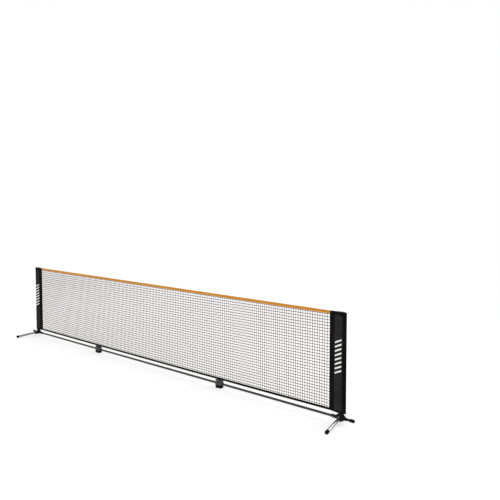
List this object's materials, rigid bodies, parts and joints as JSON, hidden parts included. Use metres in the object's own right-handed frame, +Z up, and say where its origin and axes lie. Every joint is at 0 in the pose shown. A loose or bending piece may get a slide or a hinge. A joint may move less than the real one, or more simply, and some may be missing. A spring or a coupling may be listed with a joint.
{
  "type": "portable court net",
  "caption": "Free-standing folding court net with telescopic end posts, fabric post sleeves, square mesh netting and a bright headband.",
  "frame": {"origin": "on the floor, under the middle of the bounding box; the net line stands 0.123 m behind it because only the front legs reach out", "axes": "+X along the net to the end at the right when seen from the front, +Y from front to back, +Z up; the front legs reach to -Y"},
  "size_m": [5.044, 0.3267, 0.914],
  "materials": {
    "silver_tube": "bright silver steel tube",
    "grey_tube": "dark grey powder-coated steel tube",
    "black_plastic": "moulded black nylon, fine texture",
    "black_rubber": "matt black rubber",
    "steel": "zinc-plated steel",
    "black_fabric": "woven black polyester",
    "orange_tape": "orange woven polyester tape",
    "netting": "knotless black-brown nylon mesh"
  },
  "bodies": {
    "root": {"crossbar_middle": "grey_tube", "knuckle_inner_left": "black_plastic", "hinge_pin_left": "steel", "knuckle_inner_right": "black_plastic", "hinge_pin_right": "steel"},
    "button_left": {"release_button_left": "black_plastic"},
    "left_end": {"knuckle_outer_left": "black_plastic", "crossbar_left": "grey_tube", "hub_left": "black_plastic", "outrigger_left": "grey_tube", "outrigger_cap_left": "black_rubber", "pivot_bolt_left": "steel", "lower_post_left": "grey_tube", "post_collar_left": "black_plastic"},
    "leg_left": {"leg_root_left": "black_plastic", "leg_tube_left": "silver_tube", "leg_cap_left": "black_rubber"},
    "button_right": {"release_button_right": "black_plastic"},
    "right_end": {"knuckle_outer_right": "black_plastic", "crossbar_right": "grey_tube", "hub_right": "black_plastic", "outrigger_right": "grey_tube", "outrigger_cap_right": "black_rubber", "pivot_bolt_right": "steel", "lower_post_right": "grey_tube", "post_collar_right": "black_plastic"},
    "leg_right": {"leg_root_right": "black_plastic", "leg_tube_right": "silver_tube", "leg_cap_right": "black_rubber"},
    "net_middle": {"netting_middle": "netting", "top_tape_middle": "orange_tape", "bottom_hem_middle": "black_fabric"},
    "left_upper": {"upper_post_left": "grey_tube", "post_guide_left": "black_plastic", "post_plug_left": "black_plastic", "snap_clip_left": "steel", "sleeve_left": "black_fabric", "netting_left": "netting", "top_tape_left": "orange_tape", "bottom_hem_left": "black_fabric"},
    "right_upper": {"upper_post_right": "grey_tube", "post_guide_right": "black_plastic", "post_plug_right": "black_plastic", "snap_clip_right": "steel", "sleeve_right": "black_fabric", "netting_right": "netting", "top_tape_right": "orange_tape", "bottom_hem_right": "black_fabric"}
  },
  "joints": [
    {"name": "net_lift", "type": "slide", "parent": "root", "child": "net_middle", "axis": [0, 0, 1], "range_m": [0, 0.635], "deforming": ["snap_clip_left", "snap_clip_right"]},
    {"name": "fold_left", "type": "hinge", "parent": "root", "child": "left_end", "pos_m": [-1.008, 0.15344, 0.042], "axis": [0, 0, -1], "range_deg": [0, 178]},
    {"name": "net_fold_left", "type": "hinge", "parent": "net_middle", "child": "left_upper", "pos_m": [-1.008, 0.15344, 0.042], "axis": [0, 0, -1], "range_deg": [0, 178]},
    {"name": "fold_right", "type": "hinge", "parent": "root", "child": "right_end", "pos_m": [1.008, 0.09344, 0.042], "axis": [0, 0, -1], "range_deg": [0, 160]},
    {"name": "net_fold_right", "type": "hinge", "parent": "net_middle", "child": "right_upper", "pos_m": [1.008, 0.09344, 0.042], "axis": [0, 0, -1], "range_deg": [0, 160]},
    {"name": "leg_swivel_left", "type": "hinge", "parent": "left_end", "child": "leg_left", "pos_m": [-2.4, 0.08344, 0.042], "axis": [0, 0, 1], "range_deg": [0, 101]},
    {"name": "leg_swivel_right", "type": "hinge", "parent": "right_end", "child": "leg_right", "pos_m": [2.4, 0.08344, 0.042], "axis": [0, 0, -1], "range_deg": [0, 101]},
    {"name": "release_press_left", "type": "slide", "parent": "root", "child": "button_left", "axis": [0, 1, 0], "range_m": [0, 0.005], "stiffness_N_per_m": 600},
    {"name": "release_press_right", "type": "slide", "parent": "root", "child": "button_right", "axis": [0, -1, 0], "range_m": [0, 0.005], "stiffness_N_per_m": 600}
  ],
  "couplings": [
    {"joint": "net_fold_left", "follows": "fold_left", "ratio": 1},
    {"joint": "net_fold_right", "follows": "fold_right", "ratio": 1}
  ]
}
